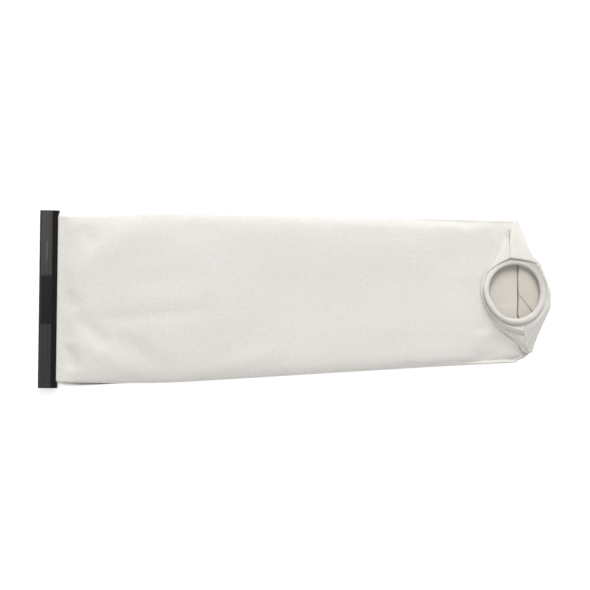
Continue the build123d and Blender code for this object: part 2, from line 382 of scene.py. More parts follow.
def finish_front(top):
    """Front panel: folds, puckers along the seams, and its real thickness."""
    panel = grid_mesh("front_panel_cloth", top, flip=True)
    refine(panel)
    p = mesh_points(panel)
    x, y = p[:, 0], p[:, 1]
    low, high = low_edge(x), high_edge(x)
    free = smoothstep(RAIL_X + 1.5, RAIL_X + 12, x)
    inside = smoothstep(0, 9, y - low) * smoothstep(0, 9, high - y)
    under_flap = 1 - smoothstep(186, 198, x) * smoothstep(-40, -22, y - 0.55 * (x - 210))
    lift = fold_field(x, y) * free * inside * under_flap
    lift += 0.35 * ripple(x, y, 80, 3) * free * inside
    lift += 0.06 * ripple(x, y, 26, 5) * free * inside
    near_rail = 1 - smoothstep(RAIL_X + 6, RAIL_X + 42, x)
    lift += 0.25 * np.sin(y * math.tau / 34 + 1.3 * np.sin(y / 27)) * near_rail * free * inside
    pucker = np.exp(-((y - low) / 6.0) ** 2) + np.exp(-((high - y) / 6.0) ** 2)
    lift += 0.16 * np.sin(x * math.tau / 17.0 + 2 * np.sin(x / 31)) * pucker * free
    # towards the folded end the side seam turns onto the top, as a strip with an edge of its own
    inset = 0.6 + 3.0 * smoothstep(60, 200, x)
    strip = 1 - smoothstep(inset - 0.35, inset + 0.35, high - y)
    lift += 0.55 * strip * smoothstep(90, 150, x) - 0.3 * smoothstep(120, 200, x) * pucker
    # below the inlet the cloth slopes down to the lower corner
    lift -= 3.2 * smoothstep(130, 205, x) * (1 - smoothstep(-50, -6, y)) * smoothstep(0, 4, y - low)
    p[:, 2] += lift
    ceiling = BODY_TOP + 1.4 - 1.2 * smoothstep(150, 190, x)
    over = p[:, 2] - (ceiling - 1.0)
    p[:, 2] = np.where(over > 0, ceiling - 1.0 + np.tanh(over), p[:, 2])
    set_points(panel, p)
    thicken(panel, -1.0)
    return panel


def crease_at(y):
    """Where the crease under the inlet lies: it wanders a little and swings out at its lower end."""
    return CREASE_EDGE_X + 0.35 * np.sin(y / 6.5 + 0.6) + 1.7 * (1 - smoothstep(-15, -8, y))


def finish_back(top):
    """Back panel: flat on the ground but under the inlet, where it is the folded end's floor."""
    last = top[-1]
    share = (last[:, 1] - last[0, 1]) / (last[-1, 1] - last[0, 1])
    outline = along(OUTER_END[::-1], 200, soften=3)
    end = np.stack([np.interp(share, np.linspace(0, 1, 200), outline[:, k]) for k in (0, 1)], axis=1)
    extra = []
    for step in np.linspace(0, 1, 27)[1:]:
        row = last.copy()
        row[:, :2] = last[:, :2] * (1 - step) + end * step
        row[:, 2] = last[:, 2] * (1 - step) ** 2 + 0.5
        extra.append(row)
    grid = np.concatenate([top, np.array(extra)])
    flat = grid.reshape(-1, 3)
    flat[:, 2] = np.maximum(flat[:, 2], 0.3)
    # beside the rail the back panel's lower edge shows below the front one's
    droop = smoothstep(RAIL_X + 1, RAIL_X + 10, flat[:, 0]) * (1 - smoothstep(-222, -160, flat[:, 0]))
    flat[:, 1] -= 3.0 * droop * (1 - smoothstep(0.5, 7, flat[:, 1] - low_edge(flat[:, 0])))
    panel = grid_mesh("back_panel_cloth", grid)
    refine(panel)
    p = mesh_points(panel)
    x, y, z = p.T
    sag = np.maximum(0.25 * ripple(x, y, 60, 11), 0) * (z < 2)
    # under the inlet the sheet is pushed up right of the crease, which leaves a hollow below it
    across = smoothstep(-40, -16, y) * (1 - smoothstep(44, 66, y))
    crease = crease_at(y)
    pushed = 3.0 * smoothstep(crease - 18, crease, x) + 9.4 * smoothstep(crease + 0.2, crease + 1.6, x)
    pushed -= 0.6 * smoothstep(crease + 2, 246, x)
    pushed *= 1 - smoothstep(246, 252, x)
    z = np.maximum(z + sag, pushed * across)
    p[:, 2] = np.maximum(z, 0.12)
    set_points(panel, p)
    thicken(panel, -1.0)
    p = mesh_points(panel)
    p[:, 2] = np.maximum(p[:, 2], 0.05)
    set_points(panel, p)
    return panel


# ---------------------------------------------------------------- the folded end

# Plan of the folded end: its outer edge, the fold on its left and the two seams
OUTER_END = [
    (220.6, 87.0), (229.8, 67.4), (237.4, 47.4), (243.9, 43.3), (250.6, 28.0), (255.3, 14.3),
    (255.2, -1.7), (248.3, -16.6), (241.3, -35.0), (237.9, -47.0), (228, -53.8), (CREASE_X, -55.6),
]
LEFT_FOLD = [
    (211.0, 75.0), (194.6, 37.5), (186.6, 18.0), (187.4, 7.8), (191.3, -3.0), (197.9, -12.0),
    (208.0, -21.0), (219.0, -25.4), (228.6, -27.0),
]
SOFT_FOLD = [
    (197, -12.5), (205.3, -23.8), (217.6, -31.6), (225.9, -40.2), (229.7, -45.6), (234.8, -47.6),
]
ROLL_LINE = [(198, -13.0), (208, -21.0), (219, -24.0), (229.2, -25.5)]
EDGE_ROLL = [
    (190.2, 2.5), (196.2, -6.6), (204.0, -14.6), (211.5, -19.4), (218, -21.6), (223.2, -22.9),
    (227.6, -24.4),
]
# the upper seam's two sides part at its top, where they leave a small opening
UPPER_SEAM_LEFT = [(213.6, 46.5), (212.8, 62.0), (212.3, 69.0), (211.0, 75.0)]
UPPER_SEAM_RIGHT = [(213.6, 46.5), (213.0, 62.0), (213.5, 69.0), (215.0, 75.5)]
LOWER_SEAM = [
    (228.5, -20.5), (230.3, -24.7), (232.0, -30.3), (232.1, -37.4), (234.7, -42.1), (237.4, -46.6),
]


def round_ring(degrees_radii, count):
    """Points round the inlet from (angle in degrees, radius) pairs."""
    angles, radii = zip(*degrees_radii)
    a = np.linspace(angles[0], angles[-1], count)
    sign = 1 if angles[-1] > angles[0] else -1
    r = np.interp(sign * a, [sign * v for v in angles], radii)
    a = np.radians(a)
    return RING + np.stack([np.cos(a), np.sin(a)], axis=1) * r[:, None]


# The groove where the flaps' edges meet the collar, as (angle in degrees, radius)
LEFT_GROOVE = [
    (97.1, 34.4), (104, 33.0), (113, 32.2), (127, 32.0), (145, 32.6), (160, 31.6), (176, 30.9),
    (190, 30.2), (212, 29.6), (236, 30.6), (252, 32.4), (270, 34.0), (289.4, 35.4),
]
RIGHT_GROOVE = [
    (97.1, 34.4), (85, 33.5), (73.4, 33.7), (52.1, 36.6), (46.0, 38.2), (42.0, 34.6), (30, 33.0),
    (10, 33.4), (-12, 34.6), (-26, 35.4), (-43, 36.0), (-57, 36.0), (-66, 35.2), (-70.6, 35.4),
]
# The soft bead's own ring, as (angle in degrees, radius of its middle line, half its width)
BEAD_RING = [
    (0, 28.6, 2.7), (20, 28.5, 2.5), (60, 29.4, 2.3), (90, 29.1, 2.35), (130, 28.2, 2.3),
    (150, 28.1, 2.5), (170, 27.6, 2.6), (193, 26.6, 2.4), (213, 25.7, 2.45), (230, 26.6, 2.1),
    (252, 28.0, 2.15), (270, 29.0, 2.5), (290, 29.7, 2.8), (307, 30.1, 2.95), (320, 29.9, 2.9),
    (340, 29.2, 2.9), (360, 28.6, 2.7),
]


def round_values(pairs, degrees, column):
    """A value of a ring's list at each angle, softened so that it has no corners."""
    at, values = [p[0] for p in pairs], [p[column] for p in pairs]
    total = 0
    for shift in (-9, -4.5, 0, 4.5, 9):
        total = total + np.interp((degrees + shift) % 360, at, values)
    return total / 5


def coons(inner, outer, start, end):
    """Points (turn, step) of a patch between four runs: inner and outer turn together, start and
    end step from the inner run to the outer one."""
    turns, steps = len(inner), len(start)
    s = np.linspace(0, 1, steps)[None, :, None]
    f = np.linspace(0, 1, turns)[:, None, None]
    ruled = inner[:, None] * (1 - s) + outer[:, None] * s
    side_a = start[None] - (start[0] * (1 - s) + start[-1] * s)
    side_b = end[None] - (end[0] * (1 - s) + end[-1] * s)
    return ruled + side_a * (1 - f) + side_b * f


def sideways(run):
    """Unit vectors across a run in plan, on the left of its direction."""
    turn = np.gradient(run[:, :2], axis=0)
    turn = np.stack([-turn[:, 1], turn[:, 0]], axis=1)
    return turn / np.maximum(np.linalg.norm(turn, axis=1, keepdims=True), 1e-9)


def stepped(row, across, steps):
    """Copies of a row of points, each moved by (reach, rise) across and up."""
    rows = []
    for reach, rise in steps:
        moved = row.copy()
        moved[:, :2] += across * reach
        moved[:, 2] += rise
        rows.append(moved)
    return rows


def with_z(run, z):
    return np.concatenate([run, np.broadcast_to(np.asarray(z, float), (len(run),))[:, None]], axis=1)


TUCK_Z = MIDDLE_TOP + 0.7
FLAP_Z = flap_high[2] + 2.6


# How high the flaps' edges stand round the collar, as (angle in degrees, above or below FLAP_Z)
FLAP_RING = [
    (0, 0.8), (40, 1.8), (90, 2.6), (130, 0.6), (158, -2.6), (195, -3.6), (225, -1.8), (258, 0.4),
    (290, 1.2), (330, 1.0), (360, 0.8),
]


def flap_rise(angle):
    """How much the flaps' edges stand above their usual height, at an angle in radians."""
    return round_values(FLAP_RING, np.degrees(angle) % 360, 1)


def lower_gusset(start_index):
    """The soft triangle below the inlet, where the front cloth is drawn up to the lower seam."""
    turns, steps = 60, 34
    f = np.linspace(0, 1, turns)
    roll_z = np.interp(f, [0, 0.5, 1], [TUCK_Z, 14.6, FLAP_Z - 1.6])
    inner = with_z(along(ROLL_LINE, turns, soften=2), roll_z)
    edge_z = np.interp(f, [0, 0.5, 0.75, 0.9, 1], [11.4, 11.4, 8.2, 5.6, 5.0])
    outer = with_z(along(SOFT_FOLD, turns, soften=2), edge_z)
    start = with_z(along([ROLL_LINE[0], SOFT_FOLD[0]], steps), np.linspace(TUCK_Z, 11.4, steps))
    seam = along([ROLL_LINE[-1]] + LOWER_SEAM[2:5] + [SOFT_FOLD[-1]], steps, soften=2)
    share = np.linspace(0, 1, steps)
    seam_z = np.interp(share, [0, 0.35, 0.7, 1], [FLAP_Z - 1.6, FLAP_Z - 3.2, 11.0, 6.0])
    end = with_z(seam, seam_z)
    patch = coons(inner, outer, start, end)
    x, y = patch[:, :, 0], patch[:, :, 1]
    middle = np.sin(np.pi * share[None, :]) * np.sin(np.pi * f[:, None])
    patch[:, :, 2] -= 0.8 * middle
    # pleats: each is a ridge or a hollow along a short line (x, y, x, y, height, width)
    for ax, ay, bx, by, height, width in (
        (212, -27.5, 226.5, -38, 0.9, 1.5),
        (221, -27.0, 230.5, -31, -1.0, 1.0),
        (224, -30, 229.5, -41, 0.7, 1.0),
        (219, -31.5, 228, -42.5, -0.8, 1.1),
        (207, -22.5, 221, -25.8, -0.9, 1.3),
    ):
        run_x, run_y = bx - ax, by - ay
        t = np.clip(((x - ax) * run_x + (y - ay) * run_y) / (run_x**2 + run_y**2), 0, 1)
        d = np.hypot(x - ax - t * run_x, y - ay - t * run_y)
        fade = np.sin(np.pi * np.clip(t, 0.05, 0.95)) * middle**0.25
        patch[:, :, 2] += height * np.exp(-((d / width) ** 2)) * fade
    # the fold along the triangle's free edge turns under
    turned = ((-0.25, -0.35), (-0.15, -0.8), (0.6, -1.1), (2.0, -1.8), (4.0, -3.0))
    hem = stepped(patch[:, -1], sideways(patch[:, -1]), turned)
    points = np.concatenate([patch.transpose(1, 0, 2), np.array(hem)]).reshape(-1, 3)
    return points, grid_faces(steps + len(hem), turns, start=start_index)


def flap_lip(edge, angle):
    """A flap's edge rolled down into the groove round the collar, nearest the collar first."""
    inward = RING - edge[:, :2]
    inward /= np.linalg.norm(inward, axis=1, keepdims=True)
    depth = 1 + 0.5 * np.clip(np.sin(angle), 0, 1)
    return stepped(edge, inward, ((0.55, -2.2 * depth), (0.5, -1.1 * depth), (0.28, -0.3 * depth)))


def edge_angles(edge):
    """The angle round the inlet of each of an edge's points."""
    return np.arctan2(edge[:, 1] - RING[1], edge[:, 0] - RING[0])


def make_front_flap():
    """The front panel's end: tucked back from the crease, turned up at the fold, over to the seams."""
    turns, steps = 150, 16
    inner = with_z(along(round_ring(LEFT_GROOVE, 90), turns), 0)
    angle = edge_angles(inner)
    inner[:, 2] = FLAP_Z + flap_rise(angle)
    outer = along(LEFT_FOLD, turns, soften=2)
    t = np.linspace(0, 1, turns)
    heights = [10.4, 11.6, TUCK_Z + 0.2, TUCK_Z + 0.2, 14.0, FLAP_Z - 0.6]
    fold_z = np.interp(t, [0, 0.09, 0.25, 0.6, 0.78, 1], heights)
    outer = with_z(outer, fold_z)
    seam_z = np.interp(np.linspace(0, 1, steps), [0, 0.6, 1], [inner[0, 2], 16.2, fold_z[0]])
    start = with_z(along(UPPER_SEAM_LEFT, steps), seam_z)
    end = np.linspace(inner[-1], outer[-1], steps)
    patch = coons(inner, outer, start, end)
    s = np.linspace(0, 1, steps)[None, :]
    patch[:, :, 2] += 0.7 * np.sin(np.pi * s)
    # the fold itself and the tuck that returns under the flap to the crease
    fold = stepped(patch[:, -1], -sideways(outer), ((0.35, -0.2), (0.45, -0.5), (0.2, -0.85)))
    crease_y = np.clip(patch[:, -1, 1], -46, 76)
    tuck = []
    for w in np.linspace(0.04, 1, 14):
        row = patch[:, -1].copy()
        row[:, 0] += (crease_at(crease_y) - row[:, 0]) * w
        row[:, 1] += (crease_y - row[:, 1]) * w
        under = np.minimum(TUCK_Z - 0.35, row[:, 2] - 1.0)
        row[:, 2] += -1.0 + (under - (row[:, 2] - 1.0)) * min(1, 3 * w)
        tuck.append(row)
    rows = flap_lip(patch[:, 0], angle) + [patch[:, k] for k in range(steps)] + fold + tuck
    grid = np.array(rows)
    gusset, gusset_faces = lower_gusset(grid.shape[0] * turns)
    points = np.concatenate([grid.reshape(-1, 3), gusset])
    flap = new_mesh("front_flap_cloth", points, grid_faces(len(rows), turns) + gusset_faces)
    ruffle(flap, 0.10, 16, 21)
    thicken(flap, 0.0, levels=1)
    return flap


def make_back_flap():
    """The back panel's end: up from the floor along the outer edge and over to the seams."""
    turns, steps = 190, 16
    inner = with_z(along(round_ring(RIGHT_GROOVE, 120), turns), 0)
    angle = edge_angles(inner)
    inner[:, 2] = FLAP_Z + flap_rise(angle)
    outer = along([UPPER_SEAM_RIGHT[-1], (217.2, 82.6)] + OUTER_END[:10], turns, soften=1)
    t = np.linspace(0, 1, turns)
    rim_at = [0, 0.07, 0.12, 0.3, 0.45, 0.75, 0.9, 1]
    rim = np.interp(t, rim_at, [10.8, 7.4, 9.0, 13.6, 14.0, 12.8, 8.5, 5.0])
    outer = with_z(outer, rim)
    share = np.linspace(0, 1, steps)
    start_z = np.interp(share, [0, 0.6, 1], [inner[0, 2], 16.2, rim[0]]) - 0.2
    start = with_z(along(UPPER_SEAM_RIGHT, steps), start_z)
    end_z = np.interp(share, [0, 0.25, 0.6, 0.85, 1], [FLAP_Z - 1.2, FLAP_Z - 3.0, 12.2, 8.0, 5.0])
    end_z = end_z - np.interp(share, [0, 0.2, 0.4, 1], [0, 0.3, 1.9, 1.9])
    end = with_z(along(LOWER_SEAM, steps, soften=1), end_z)
    end[:, 0] -= 1.8 * np.sin(np.pi * np.clip(share * 0.6 + 0.2, 0, 1))
    patch = coons(inner, outer, start, end)
    swell = np.sin(np.pi * share[None, :]) ** 0.8
    patch[:, :, 2] += 1.1 * swell * np.sin(np.pi * t)[:, None] ** 0.5
    outward = sideways(outer)
    skirt = []
    for reach, down in ((0.3, 0.94), (0.35, 0.8), (0.25, 0.5), (-0.3, 0.22), (-1.6, 0.1), (-4.5, 0.06)):
        row = patch[:, -1].copy()
        row[:, :2] += outward * reach
        row[:, 2] = np.maximum(row[:, 2] * down, 0.7)
        skirt.append(row)
    rows = flap_lip(patch[:, 0], angle) + [patch[:, k] for k in range(steps)] + skirt
    flap = grid_mesh("back_flap_cloth", np.array(rows), flip=True)
    ruffle(flap, 0.10, 18, 22, above=3)
    thicken(flap, 0.0, levels=1)
    return flap


def make_welt(name, run, heights, half_width, thickness, crumple, seed, narrow=1.0):
    """A narrow folded strip of cloth along a seam: rounded across, uneven along its length.

    narrow is the share of its size that it starts with.
    """
    count, across = 90, 12
    middle = with_z(along(run, count, soften=2), np.interp(np.linspace(0, 1, count), *zip(*heights)))
    side = -sideways(middle)
    t = np.linspace(0, 1, count)
    rings = []
    for k in range(across):
        b = math.tau * k / across
        lump = 1 + crumple * (0.5 * np.sin(t * 19 + seed) + 0.35 * np.sin(t * 43 + 2 * seed + b))
        taper = np.clip(np.minimum(t, 1 - t) / 0.05, 0.12, 1) ** 0.5 * (narrow + (1 - narrow) * t)
        row = middle.copy()
        row[:, :2] += side * (half_width * math.cos(b) * lump * taper)[:, None]
        row[:, 2] += thickness * math.sin(b) * lump * taper
        rings.append(row)
    points = np.array(rings).transpose(1, 0, 2).reshape(-1, 3)
    faces = grid_faces(count, across, wrap=True)
    faces.append(tuple(range(across))[::-1])
    faces.append(tuple(range((count - 1) * across, count * across)))
    welt = new_mesh(name, points, faces)
    refine(welt)
    return welt


# ---------------------------------------------------------------- the inlet collar


def groove_radius(angle):
    """Distance from the inlet's centre to the groove round the collar, at an angle in radians."""
    degrees = np.degrees(angle) % 360
    left = np.interp(degrees, [a for a, _ in LEFT_GROOVE], [r for _, r in LEFT_GROOVE])
    turned = np.where(degrees > 180, degrees - 360, degrees)
    flipped = RIGHT_GROOVE[::-1]
    right = np.interp(turned, [a for a, _ in flipped], [r for _, r in flipped])
    on_left = (degrees >= LEFT_GROOVE[0][0]) & (degrees <= LEFT_GROOVE[-1][0])
    return np.where(on_left, left, right)


def bead_height(angle):
    """The height of the bead's middle line, at an angle in radians."""
    return BEAD_Z - BEAD_LEAN * np.sin(angle) + 0.25 * np.sin(2 * angle + 0.3)


def make_sleeve():
    """The collar's sleeve: a foot under the flaps' edges, a flare, and the upright tube."""
    turns = 240
    angle = np.linspace(0, math.tau, turns, endpoint=False)
    degrees = np.degrees(angle)
    groove = groove_radius(angle)
    for _ in range(2):
        groove = (np.roll(groove, 1) + 2 * groove + np.roll(groove, -1)) / 4
    tube = round_values(BEAD_RING, degrees, 1) - round_values(BEAD_RING, degrees, 2) + 0.5
    wobble = 0.18 * np.sin(3 * angle + 0.4) + 0.12 * np.sin(7 * angle + 1.1)
    rim_z = bead_height(angle)
    depth = 0.4 + 0.4 * smoothstep(-0.2, 0.7, np.sin(angle))
    foot = np.minimum(FLAP_Z + flap_rise(angle) - depth, rim_z + 0.3)
    # each ring: its share of the way from the tube to the groove, a reach, a height and the
    # height's share of the way from the foot to the bead
    profile = [
        (1.0, 1.6, -1.0, 0),
        (1.0, 0.2, -0.8, 0),
        (1.0, -0.5, -0.4, 0),
        (0.86, -0.4, 0, 0),
        (0.62, -0.2, 0, 0.15),
        (0.36, 0, 0, 0.35),
        (0.14, 0, 0, 0.6),
        (0.03, 0.1, 0, 0.8),
        (0.0, 0.3, -0.5, 1.0),
    ]
    rings = []
    for share, reach, dz, up in profile:
        r = tube + (groove - tube) * share + reach + wobble * (1 - share)
        z = foot + (rim_z - foot) * up + dz
        rings.append(np.stack([RING[0] + r * np.cos(angle), RING[1] + r * np.sin(angle), z], axis=1))
    sleeve = grid_mesh("collar_sleeve", np.array(rings), wrap=True, flip=True)
    thicken(sleeve, 0.0, levels=1)
    return sleeve


def ring_tube(name, turns, round_steps, radius_of):
    """A closed tube along the bead's ring. radius_of gives its radii from the two angles."""
    angle = np.linspace(0, math.tau, turns, endpoint=False)
    section = np.linspace(0, math.tau, round_steps, endpoint=False)
    a, b = np.meshgrid(angle, section, indexing="ij")
    wide, high = radius_of(a, b)
    centre = round_values(BEAD_RING, np.degrees(angle), 1)[:, None]
    ring = centre + wide * np.cos(b)
    z = bead_height(a) + high * np.sin(b)
    points = np.stack([RING[0] + ring * np.cos(a), RING[1] + ring * np.sin(a), z], axis=-1)
    faces = grid_faces(turns, round_steps, wrap=True)
    last = (turns - 1) * round_steps
    for j in range(round_steps):
        k = (j + 1) % round_steps
        faces.append((last + j, last + k, k, j))
    tube = new_mesh(name, points.reshape(-1, 3), faces)
    refine(tube)
    return tube


def bead_radii(a, b):
    """The rolled cloth's lumpy section, with the step where the roll overlaps its own end."""
    overlap = math.radians(215)
    before = (overlap - a) % math.tau
    step = 0.55 * np.exp(-before / 0.45) * smoothstep(0, 0.03, before)
    lumps = 0.08 * np.sin(5 * a + 0.7) + 0.06 * np.sin(11 * a)
    twist = 0.05 * np.sin(46 * a + 3 * b) + 0.04 * np.sin(71 * a - 2 * b + 1.0)
    uneven = 1 + 0.03 * np.cos(2 * b + 0.6)
    wide = (round_values(BEAD_RING, np.degrees(a), 2) + 0.5 * step + lumps) * uneven + twist
    high = (BEAD_SECTION * 0.9 + step + lumps) * uneven + twist
    return wide, high


def elastic_radii(a, b):
    """The elastic cord's round section, a little uneven from its braid."""
    radius = 1.25 + 0.05 * np.sin(60 * a + 2 * b)
    return radius, radius


def make_inner_fold():
    """The layer of cloth inside the inlet, right of the crease, with a slanting folded edge."""
    turns, steps = 64, 16
    free_edge = [(0, 44.0), (0, 28.0), (0, 11.4), (231.0, 2.2), (238.0, -7.0), (243.5, -14.0)]
    free_edge = [(x or crease_at(y) + 0.7, y) for x, y in free_edge]
    inner = with_z(along(free_edge, turns, soften=1), 13.6)
    far_edge = [(229.0, 46.5), (242.0, 37.0), (248.6, 20.0), (249.6, 2.0), (247.6, -8.0)]
    outer = with_z(along(far_edge, turns, soften=3), 13.2)
    share = np.linspace(0, 1, steps)
    start, end = (np.linspace(inner[k], outer[k], steps) for k in (0, -1))
    patch = coons(inner, outer, start, end)
    patch[:, :, 2] += 0.5 * np.sin(np.pi * share)[None, :]
    turned = patch[:, 0].copy()
    turned[:, 2] -= 0.8
    turned[:, :2] += (0.4, 0.2)
    grid = np.concatenate([turned[None], patch.transpose(1, 0, 2)])
    fold = grid_mesh("inner_fold_cloth", grid, flip=True)
    ruffle(fold, 0.15, 13, 33)
    thicken(fold, 0.0, levels=1)
    return fold


# ---------------------------------------------------------------- hems, seam allowances and thread

# A mouth hem's section as (x from the mouth, height above the slot's middle): over the plastic
# strip, round its far edge and back under it to the tail
HEM_SECTION = [
    (-0.3, 1.0), (-0.4, 2.2), (-1.0, 2.55), (-9.0, 2.55), (-9.6, 2.2), (-9.75, 1.45), (-9.6, 0.65),
    (-9.0, 0.35), (0, 0.35), (12, 0.35),
]


def make_hem(name, side, low, high):
    """One mouth hem: the panel's end folded into a flat loop. side is 1 in front and -1 behind."""
    rows = 84
    section = along(HEM_SECTION, 60, soften=1)
    y = np.linspace(low, high, rows)
    grid = np.empty((rows, len(section), 3))
    grid[:, :, 0] = MOUTH_X + section[:, 0]
    grid[:, :, 1] = y[:, None]
    loose = 0.08 * ripple(grid[:, :, 1], 4 * grid[:, :, 0], 21, 40 + side)
    grid[:, :, 2] = SLOT_Z + side * (section[:, 1] + loose * (grid[:, :, 0] < MOUTH_X))
    hem = grid_mesh(name, grid, flip=side < 0)
    thicken(hem, 0.0)
    return hem


def make_allowance(name, edge, inward):
    """A side seam's two turned-in layers of cloth, sewn together inside the bag."""
    x = np.linspace(RAIL_X + 26, ALLOWANCE_END_X, 150)
    reach = np.linspace(1.2, 8.6, 8)
    grid = np.empty((len(x), len(reach), 3))
    grid[:, :, 0] = x[:, None]
    uneven = 0.3 * ripple(x, 0 * x, 34, 51)[:, None] * (reach > 6)
    grid[:, :, 1] = edge(x)[:, None] + inward * (reach + uneven)
    curl = 0.35 * ripple(x, 0 * x, 28, 52)[:, None] * smoothstep(1, 8, reach)
    grid[:, :, 2] = SEAM_Z + 0.7 + curl
    strip = grid_mesh(name, grid, flip=inward > 0)
    thicken(strip, 0.0, thickness=2 * CLOTH)
    return strip


def surface_height(tree, x, y, up):
    """A surface's height as met from above (up is 1) or from below (up is -1), if any."""
    far = 60.0
    hit = tree.ray_cast(Vector((x, y, far * up)), Vector((0, 0, -up)))[0]
    return None if hit is None else hit.z


def stitch_places(run, pitch):
    """Where a row's stitches go along a run: (x, y, angle in radians)."""
    length = np.linalg.norm(np.diff(np.asarray(run, float), axis=0), axis=1).sum()
    count = max(2, int(length / pitch))
    at = along(run, 2 * count + 1)
    heading = at[2::2] - at[:-2:2]
    return [(*p, math.atan2(h[1], h[0])) for p, h in zip(at[1::2], heading)]


def make_stitches(name, places, surface, up=1):
    """Separate threads that lie on a surface and dip into it at both ends."""
    half, width, rise, dip = 1.25, 0.27, 0.22, 0.12
    polygons = [tuple(f.vertices) for f in surface.data.polygons]
    tree = BVHTree.FromPolygons(mesh_points(surface).tolist(), polygons)
    points, faces = [], []
    along_steps, around = 7, 6
    for x, y, angle in places:
        run = np.array([math.cos(angle), math.sin(angle)])
        first = surface_height(tree, x - half * run[0], y - half * run[1], up)
        last = surface_height(tree, x + half * run[0], y + half * run[1], up)
        if first is None or last is None:
            continue
        start = len(points)
        for s in np.linspace(-1, 1, along_steps):
            thin = math.sqrt(1 - 0.75 * s * s)
            middle_z = first + (last - first) * (s + 1) / 2 + up * (rise * (1 - s * s) - dip)
            for k in range(around):
                b = math.tau * k / around
                out = width * thin * math.cos(b)
                points.append((
                    x + s * half * run[0] - out * run[1],
                    y + s * half * run[1] + out * run[0],
                    middle_z + width * thin * math.sin(b),
                ))
        faces += grid_faces(along_steps, around, start=start, wrap=True)
        faces.append(tuple(start + k for k in range(around))[::-1])
        faces.append(tuple(start + (along_steps - 1) * around + k for k in range(around)))
    return new_mesh(name, points, faces)


# ---------------------------------------------------------------- build the pieces

front_surface, back_surface = make_body()
front_cloth = finish_front(front_surface)
back_cloth = finish_back(back_surface)
front_flap = make_front_flap()
back_flap = make_back_flap()
inner_fold = make_inner_fold()
sleeve = make_sleeve()
bead = ring_tube("collar_bead", 260, 22, bead_radii)
elastic_core = ring_tube("elastic_core", 200, 10, elastic_radii)
upper_welt = make_welt(
    "upper_seam_welt",
    [(214.5, 55.0), (214.0, 62.0), (214.4, 69.0), (215.8, 75.2)],
    [(0, 17.6), (0.5, 16.0), (1, 11.9)],
    0.9, 0.8, 0.3, 1.0, narrow=0.5,
)
second_welt = make_welt(
    "upper_seam_ridge",
    [(211.8, 52.0), (211.4, 62.0), (210.9, 69.0), (210.6, 74.6), (212.6, 77.2)],
    [(0, 18.0), (0.5, 16.0), (0.85, 12.6), (1, 11.6)],
    0.85, 0.8, 0.3, 5.0, narrow=0.4,
)
lower_welt = make_welt(
    "lower_seam_welt",
    [(229.2, -20.6), (229.9, -26.0), (231.2, -31.0), (231.2, -37.8), (233.7, -42.8), (236.6, -46.8)],
    [(0, FLAP_Z), (0.35, FLAP_Z - 1.6), (0.7, 12.4), (1, 6.8)],
    1.15, 1.4, 0.25, 2.0,
)
edge_roll = make_welt(
    "flap_edge_roll",
    EDGE_ROLL,
    [(0, FLAP_Z - 4.0), (0.3, FLAP_Z - 2.2), (0.6, FLAP_Z), (0.85, FLAP_Z + 1.1), (1, FLAP_Z + 0.6)],
    1.75, 1.35, 0.12, 3.0, narrow=0.35,
)
hem_low, hem_high = box_mm("front_mouth_hem")
front_hem = make_hem("front_hem_cloth", 1, hem_low[1], hem_high[1])
back_hem = make_hem("back_hem_cloth", -1, hem_low[1], hem_high[1])
upper_allowance = make_allowance("upper_seam_allowance", high_edge, -1)
lower_allowance = make_allowance("lower_seam_allowance", low_edge, 1)

MOUTH_PITCH, SEAM_PITCH = 4.0, 5.0
mouth_row = [(RAIL_X + 3, hem_low[1] + 3), (RAIL_X + 3, hem_high[1] - 3)]
seam_x = np.linspace(RAIL_X + 30, ALLOWANCE_END_X - 4, 30)
upper_run = np.stack([seam_x, high_edge(seam_x) - 4.7], axis=1)
lower_run = np.stack([seam_x, low_edge(seam_x) + 4.7], axis=1)
foot_angles = np.linspace(0, math.tau, 49)[:-1]
foot_reach = groove_radius(foot_angles) + 0.7
foot_at = RING + np.stack([np.cos(foot_angles), np.sin(foot_angles)], axis=1) * foot_reach[:, None]
foot_places = [(*p, a + math.pi / 2) for p, a in zip(foot_at, foot_angles)]
end_places = []
for run in (
    [(216.6, 72.0), (215.6, 63.0), (215.4, 56.0)],
    [(232.6, -26.0), (234.4, -31.0), (234.6, -37.0), (237.0, -41.5)],
):
    end_places += stitch_places(run, SEAM_PITCH)
mouth_places = stitch_places(mouth_row, MOUTH_PITCH)
threads = [
    make_stitches("mouth_thread_front", mouth_places, front_cloth),
    make_stitches("mouth_thread_back", mouth_places, back_cloth, up=-1),
    make_stitches("side_thread_upper", stitch_places(upper_run, SEAM_PITCH), upper_allowance),
    make_stitches("side_thread_lower", stitch_places(lower_run, SEAM_PITCH), lower_allowance),
    make_stitches("collar_thread", foot_places, sleeve),
    make_stitches("end_thread", end_places, back_flap),
]

for piece, node in (
    (front_hem, "front_mouth_hem"),
    (back_hem, "back_mouth_hem"),
    (upper_allowance, "upper_side_seam"),
    (lower_allowance, "lower_side_seam"),
    (threads[0], "mouth_hem_stitches_front"),
    (threads[1], "mouth_hem_stitches_back"),
    (threads[2], "side_seam_stitches_upper"),
    (threads[3], "side_seam_stitches_lower"),
    (threads[4], "collar_stitches"),
    (threads[5], "end_seam_stitches"),
    (front_cloth, "front_panel"),
    (back_cloth, "back_panel"),
    (front_flap, "front_end_flap"),
    (back_flap, "back_end_flap"),
    (sleeve, "inlet_collar"),
    (bead, "collar_binding"),
    (elastic_core, "elastic_ring"),
    (edge_roll, "front_end_flap"),
    (inner_fold, "back_end_flap"),
    (upper_welt, "upper_end_seam"),
    (second_welt, "upper_end_seam"),
    (lower_welt, "lower_end_seam"),
):
    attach(piece, "bag")
    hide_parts(node)

# ---------------------------------------------------------------- materials


